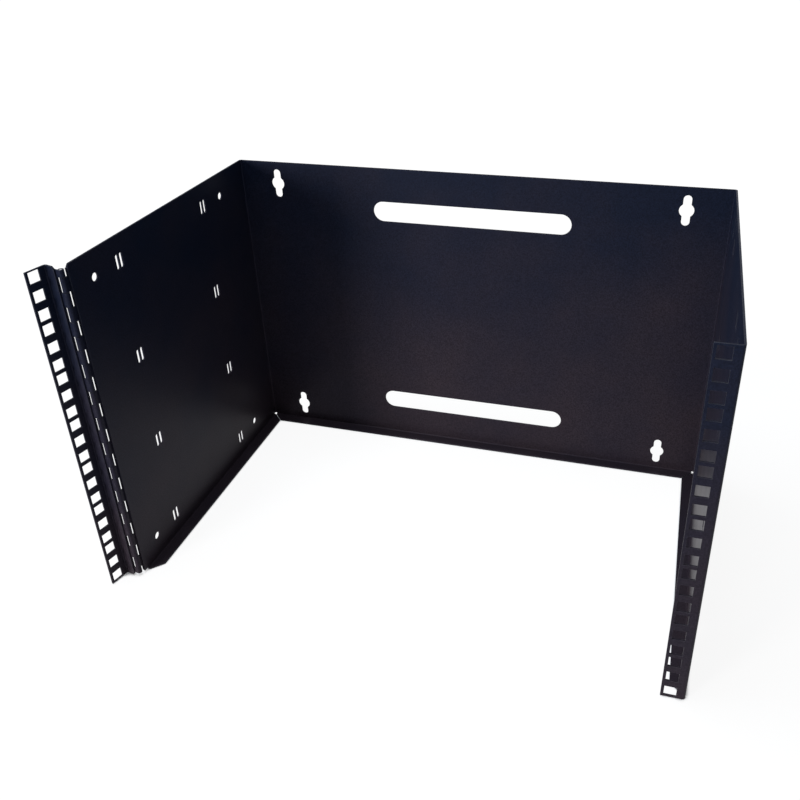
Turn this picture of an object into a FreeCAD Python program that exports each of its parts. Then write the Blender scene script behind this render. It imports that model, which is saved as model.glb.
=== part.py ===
import FreeCAD, Part
import os

# Hinged wall mount rack bracket of folded sheet steel, in millimetres.
# Origin at the centre of the face that lies on the wall. +X right, +Y into the wall, +Z up.

# Rack standard: units of height, and the column of three square holes in each
rack_unit = 44.45
unit_count = 7
hole_end = 6.35
hole_column_spacing = 465.1
square_hole = 9.5

# Folded sheet
sheet = 1.5
bend_radius = 1.0
depth = 298.45
hole_to_outer_face = 11.925
flange_margin = 2.375
lip_width = 12.7
lip_gap = 0.8
corner_cut = 2.0
lip_front_gap = 5.0

# Openings in the back panel, placed from its edges
slot_length = 200.0
slot_height = 20.65
slot_from_end = 44.45
key_from_side = 41.275
key_from_end = 22.225
key_round_diameter = 13.5
key_slot_width = 7.5
key_height = 29.0

# Openings in the side panels, placed from their edges
side_hole_diameter = 7.0
side_hole_from_end = 22.225
side_hole_from_front = 27.35
side_hole_from_wall = 50.8
tie_from_end = 22.225
tie_from_front = 60.75
tie_from_wall = 84.1
tie_rows = 4
tie_slot_height = 13.0
tie_slot_width = 3.5
tie_web = 2.0

# Continuous hinge on the left side
hinge_to_front = 14.0
hinge_end_gap = 3.175
leaf_sheet = 1.2
leaf_overlap = 10.0
pin_diameter = 2.4
pin_clearance = 0.05
pin_chamfer = 0.3
knuckle_pitch = 12.7
knuckle_gap = 0.3
shortest_knuckle = 3.0
notch_gap = 0.7
rail_end_gap = 0.5
open_angle = 104.0

# Sizes that follow
height = unit_count * rack_unit
half_height = height / 2
outer_width = hole_column_spacing + 2 * hole_to_outer_face
half_width = outer_width / 2
flange_width = hole_to_outer_face + square_hole / 2 + flange_margin
outer_bend = bend_radius + sheet
hole_column_x = hole_column_spacing / 2
hole_step = (rack_unit - 2 * hole_end) / 2
barrel_radius = pin_diameter / 2 + leaf_sheet
bore_radius = pin_diameter / 2 + pin_clearance
notch_depth = barrel_radius + notch_gap
hinge_x = -half_width - barrel_radius
hinge_y = -depth + hinge_to_front
panel_front = hinge_y + notch_depth
rail_edge = hinge_y - notch_depth
frame_leaf_width = notch_depth + leaf_overlap
rail_leaf_width = hinge_to_front - outer_bend
rail_top = half_height - rail_end_gap
hinge_length = height - 2 * hinge_end_gap
last_knuckle = int(hinge_length / 2 / knuckle_pitch + 0.5)
tie_row_pitch = (height - 2 * tie_from_end) / (tie_rows - 1)
cut_margin = sheet

X_AXIS = FreeCAD.Vector(1, 0, 0)
Y_AXIS = FreeCAD.Vector(0, 1, 0)
Z_AXIS = FreeCAD.Vector(0, 0, 1)
ORIGIN = FreeCAD.Vector(0, 0, 0)
SAME_LINE = 1e-6


def box(low, high):
    """Box between two corners."""
    size = [b - a for a, b in zip(low, high)]
    return Part.makeBox(size[0], size[1], size[2], FreeCAD.Vector(*low))


def prism(points, along):
    """Solid swept from a flat polygon along a vector."""
    corners = [FreeCAD.Vector(*p) for p in points]
    face = Part.Face(Part.makePolygon(corners + corners[:1]))
    return face.extrude(FreeCAD.Vector(*along))


def round_edges(shape, places, line, radius):
    """Fillet the straight edges that run along a direction through the given points."""
    chosen = []
    for edge in shape.Edges:
        if edge.Curve.TypeId != "Part::GeomLine":
            continue
        if edge.Curve.Direction.cross(line).Length > SAME_LINE:
            continue
        start = edge.Vertexes[0].Point
        for place in places:
            if (FreeCAD.Vector(*place) - start).cross(line).Length < SAME_LINE:
                chosen.append(edge)
    return shape.makeFillet(radius, chosen)


def obround(length, width):
    """Cutter through the back panel for a slot with round ends along X, centred at the origin."""
    radius = width / 2
    reach = length / 2 - radius
    front = -sheet - cut_margin
    slot = box((-reach, front, -radius), (reach, cut_margin, radius))
    ends = []
    for side in (-1, 1):
        start = FreeCAD.Vector(side * reach, front, 0)
        ends.append(Part.makeCylinder(radius, cut_margin - front, start, Y_AXIS))
    return slot.fuse(ends)


def square_holes(column_x):
    """Cutters for one column of square rack holes in a front flange."""
    half = square_hole / 2
    front = -depth - cut_margin
    back = -depth + sheet + cut_margin
    cutters = []
    for unit in range(unit_count):
        for step in range(3):
            level = half_height - unit * rack_unit - hole_end - step * hole_step
            low = (column_x - half, front, level - half)
            high = (column_x + half, back, level + half)
            cutters.append(box(low, high))
    return cutters


def wall_sheet():
    """Back, side panels and right flange as one bent sheet of full height."""
    inside = half_width - sheet
    flange_back = -depth + sheet
    flange_end = half_width - flange_width
    outline = [
        (-half_width, panel_front),
        (-half_width, 0),
        (half_width, 0),
        (half_width, -depth),
        (flange_end, -depth),
        (flange_end, flange_back),
        (inside, flange_back),
        (inside, -sheet),
        (-inside, -sheet),
        (-inside, panel_front),
    ]
    walls = prism([(x, y, -half_height) for x, y in outline], (0, 0, height))
    outer = [(-half_width, 0, 0), (half_width, 0, 0), (half_width, -depth, 0)]
    inner = [(inside, flange_back, 0), (inside, -sheet, 0), (-inside, -sheet, 0)]
    walls = round_edges(walls, outer, Z_AXIS, outer_bend)
    return round_edges(walls, inner, Z_AXIS, bend_radius)


def lip_strip(plan, start, run, inward):
    """One bottom lip: a bent angle strip along a wall, trimmed to its mitred outline in plan."""
    floor = -half_height
    top = floor + 2 * outer_bend
    section = [
        (0, top),
        (0, floor),
        (lip_width, floor),
        (lip_width, floor + sheet),
        (sheet, floor + sheet),
        (sheet, top),
    ]
    points = []
    for reach, level in section:
        place = FreeCAD.Vector(*start) + FreeCAD.Vector(*inward) * reach
        points.append((place.x, place.y, level))
    strip = prism(points, run)
    line = FreeCAD.Vector(*run).normalize()
    strip = round_edges(strip, [points[1]], line, outer_bend)
    strip = round_edges(strip, [points[4]], line, bend_radius)
    outline = prism([(x, y, floor) for x, y in plan], (0, 0, top - floor))
    return strip.common(outline)


def back_lip():
    """Lip along the bottom of the back panel, cut straight across its bend and mitred beyond it."""
    end = half_width - outer_bend - lip_gap
    tip = end - (lip_width - outer_bend)
    plan = [
        (-end, 0),
        (end, 0),
        (end, -outer_bend),
        (tip, -lip_width),
        (-tip, -lip_width),
        (-end, -outer_bend),
    ]
    return lip_strip(plan, (-half_width, 0, 0), (outer_width, 0, 0), (0, -1, 0))


def side_lip(side, front):
    """Lip along the bottom of one side panel, cut straight across its bend and mitred beyond it."""
    face = side * half_width
    turn = face - side * outer_bend
    tip = face - side * lip_width
    back = -outer_bend - lip_gap
    mitre = lip_width - outer_bend
    plan = [
        (face, back),
        (turn, back),
        (tip, back - mitre),
        (tip, front + mitre),
        (turn, front),
        (face, front),
    ]
    return lip_strip(plan, (face, -depth, 0), (0, depth, 0), (-side, 0, 0))


def keyhole():
    """Cutter for a wall screw: a round opening with a slot above and below it."""
    start = FreeCAD.Vector(0, -sheet - cut_margin, 0)
    opening = Part.makeCylinder(key_round_diameter / 2, sheet + 2 * cut_margin, start, Y_AXIS)
    slot = obround(key_height, key_slot_width)
    slot.rotate(ORIGIN, Y_AXIS, 90)
    return opening.fuse(slot)


def back_openings():
    """Cutters for the two cable slots and the four keyholes of the back panel."""
    cutters = []
    for end in (-1, 1):
        slot = obround(slot_length, slot_height)
        slot.translate(Z_AXIS * (end * (half_height - slot_from_end)))
        cutters.append(slot)
        for side in (-1, 1):
            key = keyhole()
            key.translate(X_AXIS * (side * (half_width - key_from_side)))
            key.translate(Z_AXIS * (end * (half_height - key_from_end)))
            cutters.append(key)
    return cutters


def side_hole_places():
    """Depth and height of each round hole in a side panel."""
    level = half_height - side_hole_from_end
    columns = (panel_front + side_hole_from_front, -side_hole_from_wall)
    return [(column, end * level) for column in columns for end in (-1, 1)]


def tie_places():
    """Depth and height of each pair of cable-tie slots in a side panel."""
    bottom = -half_height + tie_from_end
    columns = (panel_front + tie_from_front, -tie_from_wall)
    return [(column, bottom + row * tie_row_pitch) for column in columns for row in range(tie_rows)]


def side_openings(side):
    """Cutters for the round holes and the pairs of upright tie slots of one side panel."""
    low_x, high_x = sorted((side * (half_width + cut_margin), side * (half_width - sheet - cut_margin)))
    apart = (tie_web + tie_slot_width) / 2
    cutters = []
    for column, level in side_hole_places():
        start = FreeCAD.Vector(low_x, column, level)
        cutters.append(Part.makeCylinder(side_hole_diameter / 2, high_x - low_x, start, X_AXIS))
    for column, level in tie_places():
        for beside in (-1, 1):
            slot = obround(tie_slot_height, tie_slot_width)
            slot.rotate(ORIGIN, Y_AXIS, 90)
            slot.rotate(ORIGIN, Z_AXIS, -side * 90)
            slot.translate(FreeCAD.Vector(side * half_width, column + beside * apart, level))
            cutters.append(slot)
    return cutters


def hinge_corner_cuts(edge, inwards, top):
    """Cutters that bevel the corners of a sheet beside the hinge, at its top and bottom."""
    low_x = -half_width - cut_margin
    outside = edge - inwards * cut_margin
    along = edge + inwards * (corner_cut + cut_margin)
    above = top + cut_margin
    below = top - corner_cut - cut_margin
    cutters = []
    for end in (-1, 1):
        corner = [(low_x, outside, end * above), (low_x, along, end * above), (low_x, outside, end * below)]
        cutters.append(prism(corner, (sheet + 2 * cut_margin, 0, 0)))
    return cutters


def bracket_frame():
    """The folded sheet: walls, right flange and bottom lips, with every opening."""
    relief = -depth + outer_bend + lip_gap
    low = (-half_width - cut_margin, relief, -half_height - cut_margin)
    high = (half_width + cut_margin, cut_margin, -half_height + outer_bend)
    walls = wall_sheet().cut(box(low, high))
    lips = [back_lip(), side_lip(-1, panel_front + lip_front_gap), side_lip(1, relief + lip_gap)]
    cutters = back_openings() + side_openings(-1) + side_openings(1)
    cutters += square_holes(hole_column_x) + hinge_corner_cuts(panel_front, 1, half_height)
    return walls.fuse(lips).cut(cutters).removeSplitter()


def swing_open(shape):
    """Turn a piece of the closed rail outwards about the hinge axis."""
    opened = shape.copy()
    opened.rotate(FreeCAD.Vector(hinge_x, hinge_y, 0), Z_AXIS, -open_angle)
    return opened


def hinged_rail():
    """The left rack flange: a bent angle with its column of square holes, in the open position."""
    inside = -half_width + sheet
    flange_end = -half_width + flange_width
    flange_back = -depth + sheet
    outline = [
        (-half_width, rail_edge),
        (-half_width, -depth),
        (flange_end, -depth),
        (flange_end, flange_back),
        (inside, flange_back),
        (inside, rail_edge),
    ]
    rail = prism([(x, y, -rail_top) for x, y in outline], (0, 0, 2 * rail_top))
    rail = round_edges(rail, [(-half_width, -depth, 0)], Z_AXIS, outer_bend)
    rail = round_edges(rail, [(inside, flange_back, 0)], Z_AXIS, bend_radius)
    rail = rail.cut(square_holes(-hole_column_x) + hinge_corner_cuts(rail_edge, -1, rail_top))
    return swing_open(rail)


def knuckle_spans(odd):
    """Lowest and highest level of every second knuckle, with the end ones cut off at the hinge's ends."""
    end = hinge_length / 2
    reach = (knuckle_pitch - knuckle_gap) / 2
    spans = []
    for index in range(-last_knuckle, last_knuckle + 1):
        low = max(index * knuckle_pitch - reach, -end)
        high = min(index * knuckle_pitch + reach, end)
        if index % 2 == odd and high - low > shortest_knuckle:
            spans.append((low, high))
    return spans


def hinge_leaf(leaf_width, direction, odd):
    """A hinge leaf on one side of the axis, with every second knuckle of the hinge."""
    outer_face = -half_width - leaf_sheet
    bottom = -hinge_length / 2
    notch = hinge_y + direction * notch_depth
    near, far = sorted((notch, hinge_y + direction * leaf_width))
    root_low, root_high = sorted((hinge_y, notch))
    leaf = box((outer_face, near, bottom), (-half_width, far, -bottom))
    knuckles = []
    bores = []
    for low, high in knuckle_spans(odd):
        foot = FreeCAD.Vector(hinge_x, hinge_y, low)
        knuckles.append(Part.makeCylinder(barrel_radius, high - low, foot, Z_AXIS))
        knuckles.append(box((outer_face, root_low, low), (-half_width, root_high, high)))
        bores.append(Part.makeCylinder(bore_radius, high - low, foot, Z_AXIS))
    return leaf.fuse(knuckles).cut(bores).removeSplitter()


def hinge_pin():
    """The wire through all knuckles, flush with the ends of the hinge."""
    foot = FreeCAD.Vector(hinge_x, hinge_y, -hinge_length / 2)
    pin = Part.makeCylinder(pin_diameter / 2, hinge_length, foot, Z_AXIS)
    rims = [edge for edge in pin.Edges if edge.Curve.TypeId == "Part::GeomCircle"]
    return pin.makeChamfer(pin_chamfer, rims)


def main():
    os.makedirs("parts", exist_ok=True)
    pieces = {
        "bracket_frame": bracket_frame(),
        "hinged_rail": hinged_rail(),
        "hinge_frame_leaf": hinge_leaf(frame_leaf_width, 1, 1),
        "hinge_rail_leaf": swing_open(hinge_leaf(rail_leaf_width, -1, 0)),
        "hinge_pin": hinge_pin(),
    }
    for name, shape in pieces.items():
        if not shape.isValid() or len(shape.Solids) != 1:
            raise ValueError(name + " is not one valid solid")
        shape.exportStep(os.path.join("parts", name + ".step"))
        print(name, "volume", round(shape.Volume, 1), "box", shape.BoundBox)


main()
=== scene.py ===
import math

import bmesh
import bpy
from bpy.props import FloatProperty, FloatVectorProperty, IntProperty, PointerProperty
from mathutils import Matrix, Vector


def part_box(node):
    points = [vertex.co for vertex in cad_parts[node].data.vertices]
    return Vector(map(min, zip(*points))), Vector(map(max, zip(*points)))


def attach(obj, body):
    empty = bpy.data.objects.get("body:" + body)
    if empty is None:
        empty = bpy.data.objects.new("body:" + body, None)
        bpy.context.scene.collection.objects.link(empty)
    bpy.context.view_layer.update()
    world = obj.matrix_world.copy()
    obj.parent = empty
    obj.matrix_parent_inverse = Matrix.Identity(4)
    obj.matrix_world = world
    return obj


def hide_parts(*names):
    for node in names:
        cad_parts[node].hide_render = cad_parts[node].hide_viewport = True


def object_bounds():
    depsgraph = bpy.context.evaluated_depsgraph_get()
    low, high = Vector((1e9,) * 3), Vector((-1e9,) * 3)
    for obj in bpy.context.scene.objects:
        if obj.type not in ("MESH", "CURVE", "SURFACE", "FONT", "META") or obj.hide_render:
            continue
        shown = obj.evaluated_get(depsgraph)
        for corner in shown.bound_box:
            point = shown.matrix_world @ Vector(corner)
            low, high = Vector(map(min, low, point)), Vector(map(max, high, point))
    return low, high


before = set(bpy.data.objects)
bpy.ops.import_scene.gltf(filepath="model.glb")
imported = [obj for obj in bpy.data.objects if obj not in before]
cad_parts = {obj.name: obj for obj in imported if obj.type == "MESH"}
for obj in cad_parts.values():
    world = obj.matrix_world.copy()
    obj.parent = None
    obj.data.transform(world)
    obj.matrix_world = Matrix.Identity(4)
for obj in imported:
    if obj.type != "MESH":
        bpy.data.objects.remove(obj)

bl_info = {
    "name": "Hinged Wall Rack Bracket",
    "version": (1, 0, 0),
    "blender": (4, 5, 0),
    "location": "View3D > Sidebar > Bracket",
    "description": "Rounded coated sheets, hinge finish and studio for a hinged wall mount rack bracket",
    "category": "Object",
}

CAD_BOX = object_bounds()

# Each piece that stands for a node, with that node and the body it moves with.
SHEETS = {"folded_frame": ("bracket_frame", "frame"), "folded_rail": ("hinged_rail", "rail")}
LEAVES = {"frame_leaf": ("hinge_frame_leaf", "frame"), "rail_leaf": ("hinge_rail_leaf", "rail")}
PIN_NODE = "hinge_pin"

WHITE = (1.0, 1.0, 1.0, 1.0)
# Most values of a noise texture lie between these two.
NOISE_LOW, NOISE_HIGH = 0.3, 0.7
# Gloss patches across one cloud of the coat.
PATCHES_PER_CLOUD = 3
# Reach of the grey strip beside an edge, in widths of the rounding.
EDGE_REACH = 2
# Agreement of the rounded normal with the flat one where the grey strip begins, and where it is full.
STRIP_START, STRIP_FULL = 0.995, 0.80
# Open share of the space above the floor where the contact shadow is full, and where it ends.
CONTACT_FULL, CONTACT_END = 0.45, 0.8
# Keeps the two directions along the floor and drops the height.
ALONG_FLOOR = (1.0, 1.0, 0.0)

# Viewpoint of the photograph in metres, the axes of its picture and its shift as shares of the width.
CAMERA_PLACE = (0.196188, -0.774094, 0.400066)
CAMERA_RIGHT = (0.96026561, 0.27785845, -0.02616555)
CAMERA_UP = (-0.11480765, 0.47873604, 0.87042002)
CAMERA_LOOK = (-0.25437995, 0.8328304, -0.49161404)
CAMERA_SHIFT = (-0.043945, -0.048012)
# Width of the camera's sensor in millimetres.
SENSOR_WIDTH = 36.0


class CoatSettings(bpy.types.PropertyGroup):
    """Black powder coat of the sheet metal"""

    # Painted light: the coat's black at the top, darkened and tinted cool as if lit by bluish light from
    # above.
    top_black_painted_blue_light: FloatVectorProperty(
        name="Cool Black", description="Colour of the coat near the top, where the powder fell thickest",
        subtype="COLOR", size=4, min=0.0, max=1.0, default=(0.0056, 0.0084, 0.0190, 1.0),
    )
    # Painted light: the coat's black at the bottom, lightened and tinted warm as a painted sheen from below.
    low_black_painted_warm_sheen: FloatVectorProperty(
        name="Warm Black", description="Colour of the coat near the bottom",
        subtype="COLOR", size=4, min=0.0, max=1.0, default=(0.0225, 0.0170, 0.0222, 1.0),
    )
    edge_grey: FloatVectorProperty(
        name="Edge Grey", description="Colour of the coat where it is drawn thin over a sheared edge",
        subtype="COLOR", size=4, min=0.0, max=1.0, default=(0.048, 0.048, 0.054, 1.0),
    )
    cloud_size: FloatProperty(
        name="Cloud Size", description="Width of the broad clouds in the sprayed coat",
        subtype="DISTANCE", unit="LENGTH", default=0.12, min=0.005,
    )
    cloud_drift: FloatProperty(
        name="Cloud Drift", description="How far the clouds shift the colour between cool and warm",
        subtype="FACTOR", default=0.25, min=0.0, max=1.0,
    )
    grain_size: FloatProperty(
        name="Grain Size", description="Width of the fine grain of the fused powder",
        subtype="DISTANCE", unit="LENGTH", default=0.0011, min=0.0001,
    )
    grain_height: FloatProperty(
        name="Grain Height", description="Height of the fine grain",
        subtype="DISTANCE", unit="LENGTH", default=0.00006, min=0.0,
    )
    speckle: FloatProperty(
        name="Speckle", description="How far the fine grain lightens and darkens the colour",
        subtype="FACTOR", default=0.35, min=0.0, max=1.0,
    )
    peel_size: FloatProperty(
        name="Peel Size", description="Width of the soft waves left by the melted powder",
        subtype="DISTANCE", unit="LENGTH", default=0.006, min=0.0005,
    )
    peel_height: FloatProperty(
        name="Peel Height", description="Height of the soft waves",
        subtype="DISTANCE", unit="LENGTH", default=0.00003, min=0.0,
    )
    smooth_roughness: FloatProperty(
        name="Lowest Roughness", description="Roughness of the glossiest patches",
        subtype="FACTOR", default=0.36, min=0.0, max=1.0,
    )
    dull_roughness: FloatProperty(
        name="Highest Roughness", description="Roughness of the dullest patches",
        subtype="FACTOR", default=0.41, min=0.0, max=1.0,
    )
    shine: FloatProperty(
        name="Shine", description="Strength of the coat's reflection seen face on",
        subtype="FACTOR", default=0.06, min=0.0, max=1.0,
    )
    shine_tint: FloatVectorProperty(
        name="Shine Tint", description="Tint of the coat's reflection seen face on",
        subtype="COLOR", size=4, min=0.0, max=1.0, default=(0.82, 0.80, 1.0, 1.0),
    )


class WireSettings(bpy.types.PropertyGroup):
    """Bare drawn steel of the hinge wire"""

    dark_steel: FloatVectorProperty(
        name="Dark Steel", description="Colour of the darkest drawn lines",
        subtype="COLOR", size=4, min=0.0, max=1.0, default=(0.22, 0.22, 0.23, 1.0),
    )
    bright_steel: FloatVectorProperty(
        name="Bright Steel", description="Colour of the brightest drawn lines",
        subtype="COLOR", size=4, min=0.0, max=1.0, default=(0.42, 0.42, 0.43, 1.0),
    )
    lines_per_metre: FloatVectorProperty(
        name="Lines per Metre", description="Drawn lines in a metre, across the wire twice and along it",
        subtype="XYZ", size=3, min=0.0, default=(3000.0, 3000.0, 40.0),
    )
    smooth_roughness: FloatProperty(
        name="Lowest Roughness", description="Roughness of the glossiest lines",
        subtype="FACTOR", default=0.25, min=0.0, max=1.0,
    )
    dull_roughness: FloatProperty(
        name="Highest Roughness", description="Roughness of the dullest lines",
        subtype="FACTOR", default=0.5, min=0.0, max=1.0,
    )


class EdgeSettings(bpy.types.PropertyGroup):
    """Rounding that the coat gives to sheared edges"""

    sheet_width: FloatProperty(
        name="Sheet Edge", description="Width of the rounding along the edges of the folded sheets",
        subtype="DISTANCE", unit="LENGTH", default=0.0002, min=0.00005, max=0.0003,
    )
    leaf_width: FloatProperty(
        name="Leaf Edge", description="Width of the rounding along the edges of the hinge leaves",
        subtype="DISTANCE", unit="LENGTH", default=0.00015, min=0.00005, max=0.0003,
    )
    margin: FloatProperty(
        name="Margin", description="Width of the flat strip beside an edge, in widths of the rounding",
        subtype="FACTOR", default=1.5, min=1.1, max=3.0,
    )
    segments: IntProperty(
        name="Segments", description="Faces across a rounded edge", default=2, min=1, max=6,
    )
    angle: FloatProperty(
        name="Sharpest Bend", description="Edges that turn outwards by more than this are rounded",
        subtype="ANGLE", unit="ROTATION", default=math.radians(60), min=0.0, max=math.pi,
    )
    join_distance: FloatProperty(
        name="Join Distance", description="Corners of the mesh closer than this are joined",
        subtype="DISTANCE", unit="LENGTH", default=0.000002, min=0.0,
    )


class StageSettings(bpy.types.PropertyGroup):
    """Pale floor, soft light and the camera"""

    floor_size: FloatProperty(
        name="Floor Size", description="Width of the pale floor",
        subtype="DISTANCE", unit="LENGTH", default=40.0, min=1.0,
    )
    floor_gap: FloatProperty(
        name="Floor Gap", description="How far the floor lies below the bracket",
        subtype="DISTANCE", unit="LENGTH", default=0.0002, min=0.0,
    )
    floor_colour: FloatVectorProperty(
        name="Floor Colour", description="Colour of the pale floor",
        subtype="COLOR", size=4, min=0.0, max=1.0, default=(0.86, 0.86, 0.87, 1.0),
    )
    backdrop_share: FloatProperty(
        name="Backdrop Share", description="Share of the floor near the bracket that shows as white backdrop",
        subtype="FACTOR", default=0.86, min=0.0, max=1.0,
    )
    backdrop_level: FloatProperty(
        name="Backdrop Level", description="Brightness of the backdrop, where 1 is white",
        default=1.06, min=0.0,
    )
    shadow_reach: FloatProperty(
        name="Shadow Reach", description="Distance from the bracket's middle where the shadow begins to fade",
        subtype="DISTANCE", unit="LENGTH", default=0.45, min=0.05,
    )
    shadow_fade: FloatProperty(
        name="Shadow Fade", description="Distance at which the shadow is gone, in shadow reaches",
        default=2.5, min=1.1,
    )
    contact_reach: FloatProperty(
        name="Contact Reach", description="Distance from the bracket at which its contact shadow ends",
        subtype="DISTANCE", unit="LENGTH", default=0.006, min=0.0005,
    )
    room_level: FloatProperty(
        name="Room Light", description="Level of the even light of the room", default=0.17, min=0.0,
    )
    lamp_target: FloatVectorProperty(
        name="Lamp Target", description="Point that both lamps are aimed at",
        subtype="XYZ", unit="LENGTH", size=3, default=(0.0, -0.15, 0.0),
    )
    front_place: FloatVectorProperty(
        name="Front Lamp", description="Place of the lamp at the left front",
        subtype="XYZ", unit="LENGTH", size=3, default=(-1.05, -1.85, 0.3),
    )
    front_size: FloatProperty(
        name="Front Lamp Size", description="Width of the lamp at the left front",
        subtype="DISTANCE", unit="LENGTH", default=0.5, min=0.01,
    )
    front_power: FloatProperty(
        name="Front Lamp Power", description="Power of the lamp at the left front",
        subtype="POWER", unit="POWER", default=38.0, min=0.0,
    )
    front_colour: FloatVectorProperty(
        name="Front Lamp Colour", description="Colour of the lamp at the left front",
        subtype="COLOR", size=3, min=0.0, max=1.0, default=(1.0, 0.98, 0.97),
    )
    top_place: FloatVectorProperty(
        name="Top Lamp", description="Place of the lamp above the bracket",
        subtype="XYZ", unit="LENGTH", size=3, default=(-0.5, -0.1, 1.9),
    )
    top_size: FloatProperty(
        name="Top Lamp Size", description="Width of the lamp above the bracket",
        subtype="DISTANCE", unit="LENGTH", default=1.4, min=0.01,
    )
    top_power: FloatProperty(
        name="Top Lamp Power", description="Power of the lamp above the bracket",
        subtype="POWER", unit="POWER", default=38.0, min=0.0,
    )
    top_colour: FloatVectorProperty(
        name="Top Lamp Colour", description="Colour of the lamp above the bracket",
        subtype="COLOR", size=3, min=0.0, max=1.0, default=(0.86, 0.93, 1.0),
    )
    lens: FloatProperty(
        name="Lens", description="Focal length of the camera",
        subtype="DISTANCE_CAMERA", unit="CAMERA", default=38.2811, min=1.0,
    )


class BracketSettings(bpy.types.PropertyGroup):
    """All settings of the bracket"""

    coat: PointerProperty(type=CoatSettings)
    wire: PointerProperty(type=WireSettings)
    edges: PointerProperty(type=EdgeSettings)
    stage: PointerProperty(type=StageSettings)


def add_node(tree, kind, inputs=None, **values):
    """Add a shader node, set its plain values, and set or link its inputs."""
    node = tree.nodes.new(kind)
    for name, value in values.items():
        setattr(node, name, value)
    for socket, source in (inputs or {}).items():
        if isinstance(source, bpy.types.NodeSocket):
            tree.links.new(source, node.inputs[socket])
        else:
            node.inputs[socket].default_value = source
    return node


def powder_coat(name, coat, edge_width):
    """Black powder coat: painted light from a cool dark black at the top to a lighter warm black at the
    bottom, cloudy tint, fine grain, soft peel and greyer edges.
    """
    material = bpy.data.materials.new(name)
    material.use_nodes = True
    tree = material.node_tree
    shader = tree.nodes["Principled BSDF"]
    place = add_node(tree, "ShaderNodeTexCoord").outputs["Object"]

    # Colour: painted light, cooler and darker at the top for bluish light from above and lighter and warmer
    # at the bottom for a warm sheen from below, shifted by clouds and flecked by the grain.
    clouds = add_node(tree, "ShaderNodeTexNoise", {
        "Vector": place, "Scale": 1 / coat.cloud_size, "Detail": 4.0, "Roughness": 0.55,
    })
    level = add_node(tree, "ShaderNodeSeparateXYZ", {"Vector": place})
    # Painted light by height: 0 at the top and 1 at the bottom, from the painted cool shade to the painted
    # warm sheen.
    painted_light_height = add_node(tree, "ShaderNodeMapRange", {
        "Value": level.outputs["Z"], "From Min": CAD_BOX[1].z, "From Max": CAD_BOX[0].z,
    })
    drift = add_node(tree, "ShaderNodeMapRange", {
        "Value": clouds.outputs["Fac"], "From Min": NOISE_LOW, "From Max": NOISE_HIGH,
        "To Min": -coat.cloud_drift, "To Max": coat.cloud_drift,
    }, clamp=False)
    painted_light_and_clouds = add_node(tree, "ShaderNodeMath", {
        0: painted_light_height.outputs["Result"], 1: drift.outputs["Result"],
    }, operation="ADD", use_clamp=True)
    tint = add_node(tree, "ShaderNodeMix", {
        "Factor": painted_light_and_clouds.outputs[0], "A": coat.top_black_painted_blue_light, "B": coat.low_black_painted_warm_sheen,
    }, data_type="RGBA")
    grain = add_node(tree, "ShaderNodeTexNoise", {
        "Vector": place, "Scale": 1 / coat.grain_size, "Detail": 2.0, "Roughness": 0.6,
    })
    fleck = add_node(tree, "ShaderNodeMapRange", {
        "Value": grain.outputs["Fac"], "From Min": NOISE_LOW, "From Max": NOISE_HIGH,
        "To Min": 1 - coat.speckle, "To Max": 1 + coat.speckle,
    })
    flecked = add_node(tree, "ShaderNodeVectorMath", {
        0: tint.outputs[2], "Scale": fleck.outputs["Result"],
    }, operation="SCALE")

    # Edges: greyer where a rounded normal turns away from the flat one.
    rounded = add_node(tree, "ShaderNodeBevel", {"Radius": edge_width * EDGE_REACH}, samples=4)
    flat = add_node(tree, "ShaderNodeNewGeometry")
    facing = add_node(tree, "ShaderNodeVectorMath", {
        0: rounded.outputs["Normal"], 1: flat.outputs["True Normal"],
    }, operation="DOT_PRODUCT")
    edge = add_node(tree, "ShaderNodeMapRange", {
        "Value": facing.outputs["Value"], "From Min": STRIP_START, "From Max": STRIP_FULL,
    })
    edged = add_node(tree, "ShaderNodeMix", {
        "Factor": edge.outputs["Result"], "A": flecked.outputs["Vector"], "B": coat.edge_grey,
    }, data_type="RGBA")
    tree.links.new(edged.outputs[2], shader.inputs["Base Color"])

    # Gloss: soft patches, with a peel and a grain that break the reflection.
    patches = add_node(tree, "ShaderNodeTexNoise", {
        "Vector": place, "Scale": PATCHES_PER_CLOUD / coat.cloud_size, "Detail": 5.0, "Roughness": 0.6,
    })
    gloss = add_node(tree, "ShaderNodeMapRange", {
        "Value": patches.outputs["Fac"], "From Min": NOISE_LOW, "From Max": NOISE_HIGH,
        "To Min": coat.smooth_roughness, "To Max": coat.dull_roughness,
    })
    tree.links.new(gloss.outputs["Result"], shader.inputs["Roughness"])
    peel = add_node(tree, "ShaderNodeTexNoise", {
        "Vector": place, "Scale": 1 / coat.peel_size, "Detail": 1.0,
    })
    waves = add_node(tree, "ShaderNodeBump", {
        "Height": peel.outputs["Fac"], "Strength": 1.0, "Distance": coat.peel_height,
    })
    skin = add_node(tree, "ShaderNodeBump", {
        "Height": grain.outputs["Fac"], "Strength": 1.0, "Distance": coat.grain_height,
        "Normal": waves.outputs["Normal"],
    })
    tree.links.new(skin.outputs["Normal"], shader.inputs["Normal"])
    shader.inputs["Specular IOR Level"].default_value = coat.shine
    shader.inputs["Specular Tint"].default_value = coat.shine_tint
    return material


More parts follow.
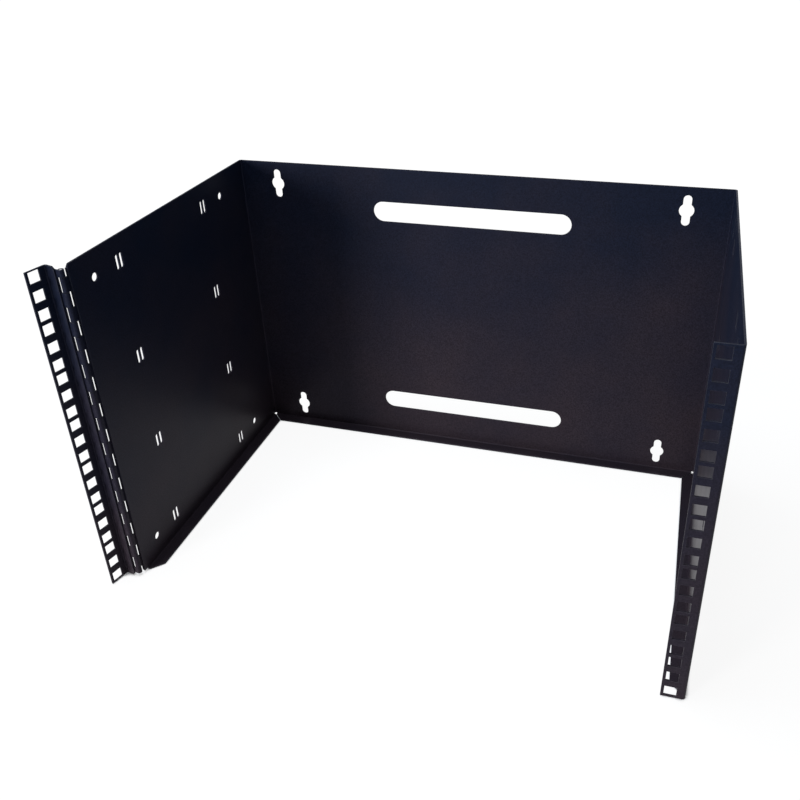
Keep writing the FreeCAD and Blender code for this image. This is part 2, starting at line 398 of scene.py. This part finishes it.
def drawn_wire(name, wire):
    """Bare drawn steel of the hinge wire, with fine lines along its length."""
    material = bpy.data.materials.new(name)
    material.use_nodes = True
    tree = material.node_tree
    shader = tree.nodes["Principled BSDF"]
    place = add_node(tree, "ShaderNodeTexCoord").outputs["Object"]
    along = add_node(tree, "ShaderNodeMapping", {"Vector": place, "Scale": wire.lines_per_metre})
    lines = add_node(tree, "ShaderNodeTexNoise", {
        "Vector": along.outputs["Vector"], "Scale": 1.0, "Detail": 2.0,
    })
    tint = add_node(tree, "ShaderNodeMix", {
        "Factor": lines.outputs["Fac"], "A": wire.dark_steel, "B": wire.bright_steel,
    }, data_type="RGBA")
    tree.links.new(tint.outputs[2], shader.inputs["Base Color"])
    gloss = add_node(tree, "ShaderNodeMapRange", {
        "Value": lines.outputs["Fac"], "To Min": wire.smooth_roughness, "To Max": wire.dull_roughness,
    })
    tree.links.new(gloss.outputs["Result"], shader.inputs["Roughness"])
    shader.inputs["Metallic"].default_value = 1.0
    return material


def sheared_edges(form, angle):
    """Edges that turn outwards by more than an angle."""
    return [edge for edge in form.edges if edge.calc_face_angle_signed(0.0) > angle]


def face_groups(form, borders):
    """Faces in groups that meet only at the given edges."""
    borders = set(borders)
    done = set()
    groups = []
    for first in form.faces:
        if first in done:
            continue
        done.add(first)
        group = [first]
        # The group grows while it is walked through.
        for face in group:
            for edge in face.edges:
                if edge in borders:
                    continue
                for other in edge.link_faces:
                    if other not in done:
                        done.add(other)
                        group.append(other)
        groups.append(group)
    return groups


def rounded_copy(name, node, width, edges):
    """Joined copy of a node's mesh with its sheared edges rounded."""
    form = bmesh.new()
    form.from_mesh(node.data)
    bmesh.ops.remove_doubles(form, verts=form.verts, dist=edges.join_distance)
    form.normal_update()
    for group in face_groups(form, sheared_edges(form, edges.angle)):
        bmesh.ops.inset_region(form, faces=group, thickness=width * edges.margin, use_even_offset=True)
    form.normal_update()
    rounding = bmesh.ops.bevel(
        form, geom=sheared_edges(form, edges.angle), offset=width, offset_type="OFFSET", affect="EDGES",
        segments=edges.segments, profile=0.5, material=-1, loop_slide=True,
    )
    for face in rounding["faces"]:
        face.smooth = True
    mesh = bpy.data.meshes.new(name)
    form.to_mesh(mesh)
    form.free()
    # The node's own normals no longer fit the joined and rounded faces.
    stale_normals = mesh.attributes.get("custom_normal")
    if stale_normals:
        mesh.attributes.remove(stale_normals)
    return mesh


def coated_piece(name, node_name, body, width, edges, material):
    """Rounded and coated piece that stands for a node and moves with its body."""
    piece = bpy.data.objects.new(name, rounded_copy(name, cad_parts[node_name], width, edges))
    bpy.context.scene.collection.objects.link(piece)
    piece.data.materials.append(material)
    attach(piece, body)
    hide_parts(node_name)


def dress(node, material):
    """Give every material slot of a node one finish."""
    for slot in node.material_slots:
        slot.material = material


class BRACKET_OT_coat_sheets(bpy.types.Operator):
    """Powder coat the folded frame and the hinged rail"""

    bl_idname = "bracket.coat_sheets"
    bl_label = "Coat Frame and Rail"

    def execute(self, context):
        settings = context.scene.bracket
        edges = settings.edges
        coat = powder_coat("powder_coat_sheet", settings.coat, edges.sheet_width)
        for name, (node, body) in SHEETS.items():
            coated_piece(name, node, body, edges.sheet_width, edges, coat)
        return {"FINISHED"}


class BRACKET_OT_finish_hinge(bpy.types.Operator):
    """Powder coat the hinge leaves and give the wire its bare steel"""

    bl_idname = "bracket.finish_hinge"
    bl_label = "Finish Hinge"

    def execute(self, context):
        settings = context.scene.bracket
        edges = settings.edges
        coat = powder_coat("powder_coat_hinge", settings.coat, edges.leaf_width)
        for name, (node, body) in LEAVES.items():
            coated_piece(name, node, body, edges.leaf_width, edges, coat)
        dress(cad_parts[PIN_NODE], drawn_wire("hinge_wire_steel", settings.wire))
        return {"FINISHED"}


def seen_directly(tree):
    """Factor that is 1 for rays from the camera, from glossy surfaces and through clear ones."""
    path = add_node(tree, "ShaderNodeLightPath")
    first = add_node(tree, "ShaderNodeMath", {
        0: path.outputs["Is Camera Ray"], 1: path.outputs["Is Glossy Ray"],
    }, operation="MAXIMUM")
    both = add_node(tree, "ShaderNodeMath", {
        0: first.outputs[0], 1: path.outputs["Is Transmission Ray"],
    }, operation="MAXIMUM")
    return both.outputs[0]


def floor_paint(stage):
    """Plain pale paint that keeps the shadow, part of it shown as white backdrop."""
    material = bpy.data.materials.new("pale_floor")
    material.use_nodes = True
    tree = material.node_tree
    tree.nodes.clear()
    seen = seen_directly(tree)
    place = add_node(tree, "ShaderNodeTexCoord").outputs["Object"]
    centred = add_node(tree, "ShaderNodeVectorMath", {
        0: place, 1: (CAD_BOX[0] + CAD_BOX[1]) / 2,
    }, operation="SUBTRACT")
    flat = add_node(tree, "ShaderNodeVectorMath", {
        0: centred.outputs[0], 1: ALONG_FLOOR,
    }, operation="MULTIPLY")
    away = add_node(tree, "ShaderNodeVectorMath", {0: flat.outputs[0]}, operation="LENGTH")
    backdrop = add_node(tree, "ShaderNodeMapRange", {
        "Value": away.outputs["Value"],
        "From Min": stage.shadow_reach, "From Max": stage.shadow_fade * stage.shadow_reach,
        "To Min": stage.backdrop_share, "To Max": 1.0,
    }, interpolation_type="SMOOTHSTEP")
    nearby = add_node(tree, "ShaderNodeAmbientOcclusion", {"Distance": stage.contact_reach}, samples=8)
    clear = add_node(tree, "ShaderNodeMapRange", {
        "Value": nearby.outputs["AO"], "From Min": CONTACT_FULL, "From Max": CONTACT_END,
    }, interpolation_type="SMOOTHSTEP")
    white = add_node(tree, "ShaderNodeMath", {
        0: backdrop.outputs["Result"], 1: clear.outputs["Result"],
    }, operation="MULTIPLY")
    share = add_node(tree, "ShaderNodeMath", {0: seen, 1: white.outputs[0]}, operation="MULTIPLY")
    paint = add_node(tree, "ShaderNodeBsdfDiffuse", {"Color": stage.floor_colour})
    glow = add_node(tree, "ShaderNodeEmission", {"Color": WHITE, "Strength": stage.backdrop_level})
    mix = add_node(tree, "ShaderNodeMixShader", {
        0: share.outputs[0], 1: paint.outputs[0], 2: glow.outputs[0],
    })
    add_node(tree, "ShaderNodeOutputMaterial", {"Surface": mix.outputs[0]})
    return material


def pale_floor(stage):
    """Wide flat floor just below the bracket."""
    floor_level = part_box("bracket_frame")[0].z
    mesh = bpy.data.meshes.new("pale_floor")
    form = bmesh.new()
    bmesh.ops.create_grid(form, x_segments=1, y_segments=1, size=stage.floor_size / 2)
    bmesh.ops.translate(form, verts=form.verts, vec=(0, 0, floor_level - stage.floor_gap))
    form.to_mesh(mesh)
    form.free()
    floor = bpy.data.objects.new("pale_floor", mesh)
    bpy.context.scene.collection.objects.link(floor)
    mesh.materials.append(floor_paint(stage))


def room_light(level):
    """White surroundings: full white where they are seen, an even low light elsewhere."""
    world = bpy.data.worlds.new("studio_room")
    bpy.context.scene.world = world
    world.use_nodes = True
    tree = world.node_tree
    tree.nodes.clear()
    seen = seen_directly(tree)
    light = add_node(tree, "ShaderNodeBackground", {"Color": WHITE, "Strength": level})
    white = add_node(tree, "ShaderNodeBackground", {"Color": WHITE, "Strength": 1.0})
    mix = add_node(tree, "ShaderNodeMixShader", {0: seen, 1: light.outputs[0], 2: white.outputs[0]})
    add_node(tree, "ShaderNodeOutputWorld", {"Surface": mix.outputs[0]})


def soft_lamp(name, place, target, size, power, colour):
    """Square area lamp aimed at a point."""
    lamp = bpy.data.lights.new(name, "AREA")
    lamp.shape = "SQUARE"
    lamp.size = size
    lamp.energy = power
    lamp.color = colour
    holder = bpy.data.objects.new(name, lamp)
    bpy.context.scene.collection.objects.link(holder)
    holder.location = place
    holder.rotation_euler = (target - place).to_track_quat("-Z", "Y").to_euler()


def photo_camera(lens):
    """Camera with the photograph's viewpoint and framing."""
    camera = bpy.data.objects.new("camera", bpy.data.cameras.new("camera"))
    bpy.context.scene.collection.objects.link(camera)
    turn = Matrix((CAMERA_RIGHT, CAMERA_UP, -Vector(CAMERA_LOOK))).transposed().to_4x4()
    camera.matrix_world = Matrix.Translation(CAMERA_PLACE) @ turn
    camera.data.sensor_width = SENSOR_WIDTH
    camera.data.lens = lens
    camera.data.shift_x, camera.data.shift_y = CAMERA_SHIFT
    bpy.context.scene.camera = camera


class BRACKET_OT_build_stage(bpy.types.Operator):
    """Set up the floor, the soft light and the camera"""

    bl_idname = "bracket.build_stage"
    bl_label = "Build Stage"

    def execute(self, context):
        stage = context.scene.bracket.stage
        context.scene.view_settings.view_transform = "Standard"
        pale_floor(stage)
        room_light(stage.room_level)
        soft_lamp(
            "front_lamp", stage.front_place, stage.lamp_target,
            stage.front_size, stage.front_power, stage.front_colour,
        )
        soft_lamp(
            "top_lamp", stage.top_place, stage.lamp_target,
            stage.top_size, stage.top_power, stage.top_colour,
        )
        photo_camera(stage.lens)
        return {"FINISHED"}


class BRACKET_PT_tools(bpy.types.Panel):
    """Steps and settings of the bracket"""

    bl_label = "Wall Rack Bracket"
    bl_idname = "BRACKET_PT_tools"
    bl_space_type = "VIEW_3D"
    bl_region_type = "UI"
    bl_category = "Bracket"

    def draw(self, context):
        for operator in OPERATORS:
            self.layout.operator(operator.bl_idname)
        settings = context.scene.bracket
        for group in (settings.coat, settings.wire, settings.edges, settings.stage):
            section = self.layout.box()
            for name in group.bl_rna.properties.keys():
                if name not in ("rna_type", "name"):
                    section.prop(group, name)


SETTINGS = (CoatSettings, WireSettings, EdgeSettings, StageSettings, BracketSettings)
OPERATORS = (BRACKET_OT_coat_sheets, BRACKET_OT_finish_hinge, BRACKET_OT_build_stage)
CLASSES = SETTINGS + OPERATORS + (BRACKET_PT_tools,)


def register():
    for item in CLASSES:
        bpy.utils.register_class(item)
    bpy.types.Scene.bracket = PointerProperty(type=BracketSettings)


def unregister():
    del bpy.types.Scene.bracket
    for item in reversed(CLASSES):
        bpy.utils.unregister_class(item)


def main():
    register()
    bpy.ops.bracket.coat_sheets()
    bpy.ops.bracket.finish_hinge()
    bpy.ops.bracket.build_stage()


if __name__ == "__main__":
    main()
